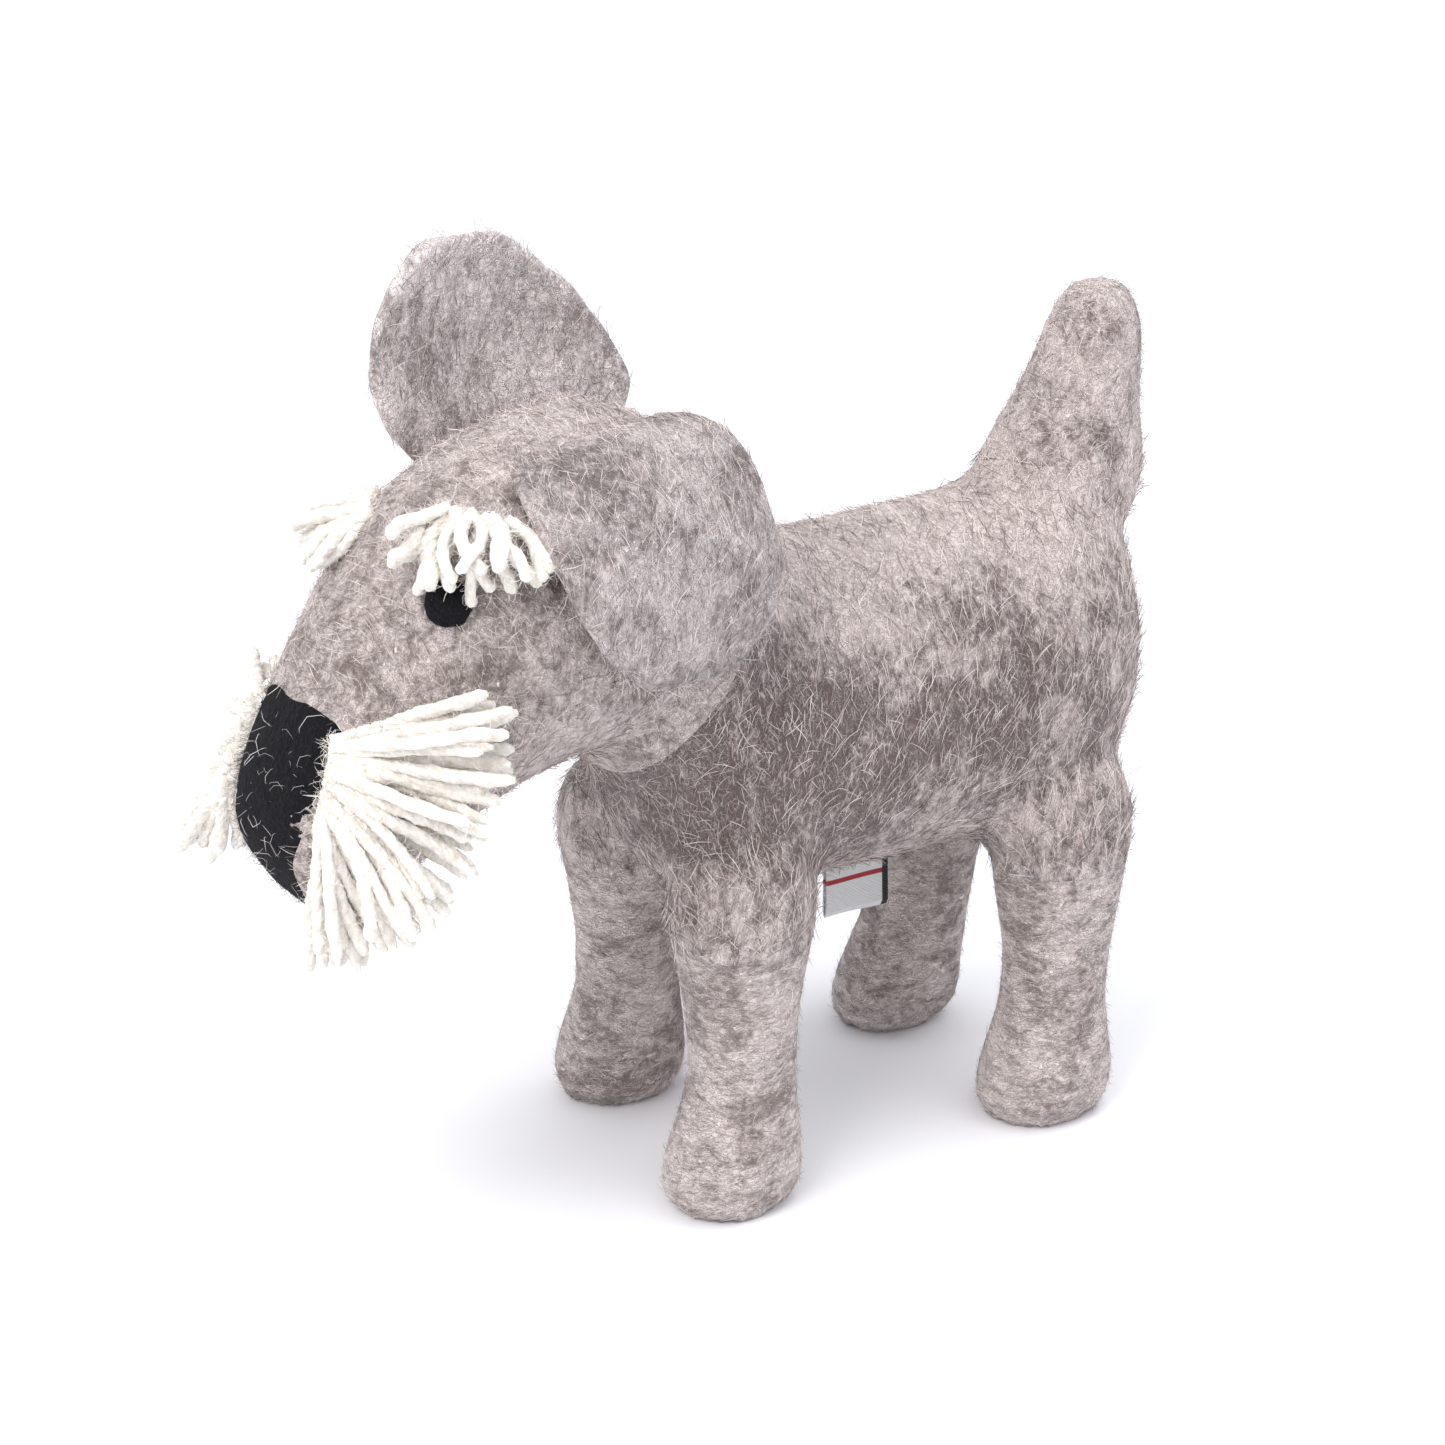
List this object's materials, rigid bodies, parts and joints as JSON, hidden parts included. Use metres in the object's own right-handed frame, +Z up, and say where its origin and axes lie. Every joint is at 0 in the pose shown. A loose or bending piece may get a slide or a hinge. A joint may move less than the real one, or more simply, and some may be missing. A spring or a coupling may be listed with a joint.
{
  "type": "felted wool toy dog",
  "caption": "Stuffed grey wool felt terrier that stands, with flap ears, black felt nose and eyes, and yarn moustache and brows; head, ears, legs and tail flex.",
  "frame": {"origin": "on the ground under the middle of the toy's length and width", "axes": "-Y is the way the toy faces, +Z is up, and +X is its left side"},
  "size_m": [0.0839, 0.2089, 0.1944],
  "materials": {
    "grey_felt": "heathered grey wool felt with a brushed, hairy surface",
    "ear_felt": "flat pressed wool felt with cut edges and a short nap",
    "black_felt": "matt black wool felt",
    "yarn": "soft undyed single-ply wool yarn, cut ends",
    "stuffing": "loose wool stuffing",
    "tape": "woven satin tape"
  },
  "bodies": {
    "torso": {"torso_side_left": "grey_felt", "torso_side_right": "grey_felt", "belly_panel": "grey_felt", "torso_stuffing": "stuffing"},
    "neck": {"neck_skin": "grey_felt", "neck_stuffing": "stuffing"},
    "head": {"head_side_left": "grey_felt", "head_side_right": "grey_felt", "head_stuffing": "stuffing", "nose_patch": "black_felt", "eye_left": "black_felt", "eye_right": "black_felt", "brow_left": "yarn", "brow_right": "yarn"},
    "ear_left": {"ear_left": "ear_felt"},
    "ear_right": {"ear_right": "ear_felt"},
    "moustache_left": {"moustache_left": "yarn"},
    "moustache_right": {"moustache_right": "yarn"},
    "leg_front_left": {"leg_skin_front_left": "grey_felt", "leg_stuffing_front_left": "stuffing"},
    "leg_front_right": {"leg_skin_front_right": "grey_felt", "leg_stuffing_front_right": "stuffing"},
    "leg_hind_left": {"leg_skin_hind_left": "grey_felt", "leg_stuffing_hind_left": "stuffing"},
    "leg_hind_right": {"leg_skin_hind_right": "grey_felt", "leg_stuffing_hind_right": "stuffing"},
    "tail": {"tail_skin": "grey_felt", "tail_stuffing": "stuffing"},
    "label": {"label": "tape"}
  },
  "joints": [
    {"name": "head_turn", "type": "hinge", "parent": "torso", "child": "neck", "pos_m": [0, -0.007, 0.114], "axis": [0, 0, 1], "range_deg": [-20, 20], "stiffness_Nm_per_rad": 0.6},
    {"name": "head_nod", "type": "hinge", "parent": "neck", "child": "head", "pos_m": [0, -0.007, 0.114], "axis": [0.9903, 0.1392, 0], "range_deg": [-12, 12], "stiffness_Nm_per_rad": 1.2},
    {"name": "ear_left_fold", "type": "hinge", "parent": "head", "child": "ear_left", "pos_m": [0.02326, -0.02595, 0.1543], "axis": [0.1392, -0.9903, 0], "range_deg": [0, 75], "stiffness_Nm_per_rad": 0.03},
    {"name": "ear_right_fold", "type": "hinge", "parent": "head", "child": "ear_right", "pos_m": [-0.01784, -0.02667, 0.1543], "axis": [0.1392, -0.9903, 0], "range_deg": [0, 60], "stiffness_Nm_per_rad": 0.03},
    {"name": "moustache_left_lift", "type": "hinge", "parent": "head", "child": "moustache_left", "pos_m": [0.02465, -0.09292, 0.11016], "axis": [0.2033, -0.3022, -0.9313], "range_deg": [0, 35], "stiffness_Nm_per_rad": 0.02},
    {"name": "moustache_right_lift", "type": "hinge", "parent": "head", "child": "moustache_right", "pos_m": [-0.00001, -0.09638, 0.11016], "axis": [0.1121, 0.3465, 0.9313], "range_deg": [0, 35], "stiffness_Nm_per_rad": 0.02},
    {"name": "leg_front_left_swing", "type": "hinge", "parent": "torso", "child": "leg_front_left", "pos_m": [0.0235, -0.002, 0.062], "axis": [1, 0, 0], "range_deg": [-18, 18], "stiffness_Nm_per_rad": 0.5},
    {"name": "leg_front_right_swing", "type": "hinge", "parent": "torso", "child": "leg_front_right", "pos_m": [-0.0235, -0.002, 0.062], "axis": [1, 0, 0], "range_deg": [-18, 18], "stiffness_Nm_per_rad": 0.5},
    {"name": "leg_hind_left_swing", "type": "hinge", "parent": "torso", "child": "leg_hind_left", "pos_m": [0.0235, 0.074, 0.062], "axis": [1, 0, 0], "range_deg": [-18, 18], "stiffness_Nm_per_rad": 0.5},
    {"name": "leg_hind_right_swing", "type": "hinge", "parent": "torso", "child": "leg_hind_right", "pos_m": [-0.0235, 0.074, 0.062], "axis": [1, 0, 0], "range_deg": [-18, 18], "stiffness_Nm_per_rad": 0.5},
    {"name": "tail_wag", "type": "hinge", "parent": "torso", "child": "tail", "pos_m": [0, 0.087, 0.13], "axis": [0, 1, 0], "range_deg": [-20, 20], "stiffness_Nm_per_rad": 0.3},
    {"name": "label_flap", "type": "hinge", "parent": "torso", "child": "label", "pos_m": [0, 0.039, 0.0563], "axis": [0, 1, 0], "range_deg": [-55, 55], "stiffness_Nm_per_rad": 0.002}
  ]
}
